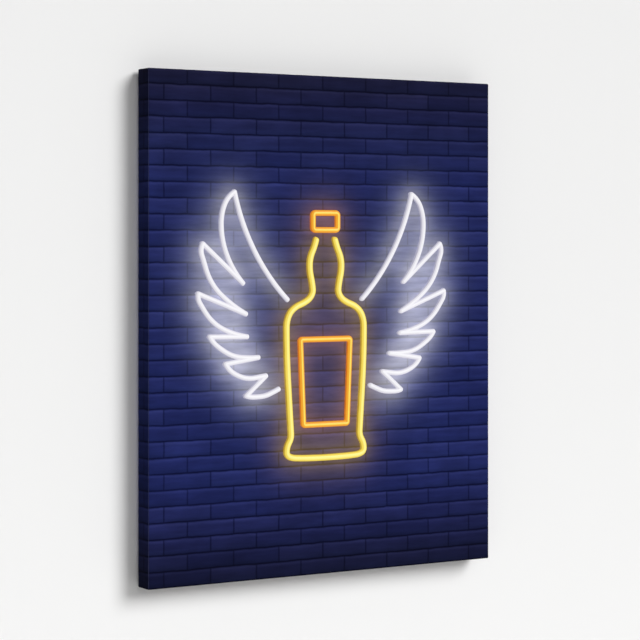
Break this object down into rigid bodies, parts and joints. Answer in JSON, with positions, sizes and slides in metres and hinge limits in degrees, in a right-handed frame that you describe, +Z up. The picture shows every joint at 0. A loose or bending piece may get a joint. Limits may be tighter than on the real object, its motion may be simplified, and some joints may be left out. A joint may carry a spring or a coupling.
{
  "type": "illuminated wall sign",
  "caption": "Canvas-wrapped wall sign with light tubes that draw a winged bottle over a printed brick ground; stretcher frame, hangers and control box behind.",
  "frame": {"origin": "on the wall, midway between the two hooks that carry the sign, at the height where they bear on the rings", "axes": "+X right as the sign is looked at, +Y into the wall, +Z up; the face looks along -Y"},
  "size_m": [0.61, 0.0492, 0.762],
  "materials": {
    "canvas": "printed cotton canvas, matt",
    "board": "hardboard, one smooth face",
    "pine": "planed softwood",
    "key_wood": "sawn beech",
    "staple_steel": "galvanised wire",
    "white_tube": "frosted silicone, lit",
    "yellow_tube": "frosted silicone, lit",
    "orange_tube": "frosted silicone, lit",
    "led_strip": "white flexible circuit",
    "black_rubber": "moulded",
    "bumper_rubber": "moulded",
    "lead_jacket": "extruded PVC",
    "clip_nylon": "natural nylon",
    "box_plastic": "spark-eroded ABS",
    "screw_zinc": "zinc plated",
    "screw_brassed": "brass plated",
    "circuit_green": "solder resist",
    "circuit_black": "moulded epoxy and sleeved cans",
    "terminal_plastic": "moulded polyamide",
    "foam_tape": "closed-cell foam",
    "jack_plastic": "moulded",
    "contact_brass": "nickel-plated brass",
    "nut_nickel": "nickel plated",
    "switch_plastic": "moulded nylon",
    "rocker_plastic": "moulded nylon",
    "pot_metal": "stamped steel",
    "knob_plastic": "moulded ABS",
    "hanger_steel": "zinc-plated steel"
  },
  "bodies": {
    "sign_panel": {"canvas_wrap": "canvas", "backer_board": "board", "top_bar": "pine", "bottom_bar": "pine", "left_bar": "pine", "right_bar": "pine", "cross_brace": "pine", "corner_keys": "key_wood", "canvas_staples": "staple_steel", "left_wing_tube": "white_tube", "right_wing_tube": "white_tube", "wing_end_caps": "white_tube", "bottle_tube": "yellow_tube", "bottle_end_caps": "yellow_tube", "cap_tube": "orange_tube", "label_tube": "orange_tube", "left_wing_led_strip": "led_strip", "right_wing_led_strip": "led_strip", "bottle_led_strip": "led_strip", "cap_led_strip": "led_strip", "label_led_strip": "led_strip", "feed_grommets": "black_rubber", "lead_gland": "black_rubber", "wall_bumpers": "bumper_rubber", "left_wing_lead": "lead_jacket", "right_wing_lead": "lead_jacket", "bottle_lead": "lead_jacket", "label_lead": "lead_jacket", "cap_lead": "lead_jacket", "lead_clips": "clip_nylon", "control_base": "box_plastic", "control_lid": "box_plastic", "lid_screws": "screw_zinc", "circuit_screws": "screw_zinc", "hanger_screws": "screw_brassed", "circuit_board": "circuit_green", "circuit_parts": "circuit_black", "terminal_block": "terminal_plastic", "box_tape": "foam_tape", "dc_inlet": "jack_plastic", "inlet_pin": "contact_brass", "inlet_nut": "nut_nickel", "switch_body": "switch_plastic", "dimmer_body": "pot_metal", "dimmer_nut": "nut_nickel", "left_hanger_strap": "hanger_steel", "right_hanger_strap": "hanger_steel"},
    "switch_rocker": {"switch_rocker": "rocker_plastic"},
    "dimmer_knob": {"dimmer_knob": "knob_plastic"},
    "left_ring": {"left_ring": "hanger_steel"},
    "right_ring": {"right_ring": "hanger_steel"}
  },
  "joints": [
    {"name": "rocker_tip", "type": "hinge", "parent": "sign_panel", "child": "switch_rocker", "pos_m": [0.128, -0.0132, -0.557], "axis": [0, 0, 1], "range_deg": [0, 16]},
    {"name": "dimmer_turn", "type": "hinge", "parent": "sign_panel", "child": "dimmer_knob", "pos_m": [0.172, -0.012, -0.557], "axis": [0, 1, 0], "range_deg": [-135, 135]},
    {"name": "left_ring_swing", "type": "hinge", "parent": "sign_panel", "child": "left_ring", "pos_m": [-0.27, -0.00427, -0.016], "axis": [-1, 0, 0], "range_deg": [0, 150]},
    {"name": "right_ring_swing", "type": "hinge", "parent": "sign_panel", "child": "right_ring", "pos_m": [0.27, -0.00427, -0.016], "axis": [-1, 0, 0], "range_deg": [0, 150]}
  ]
}
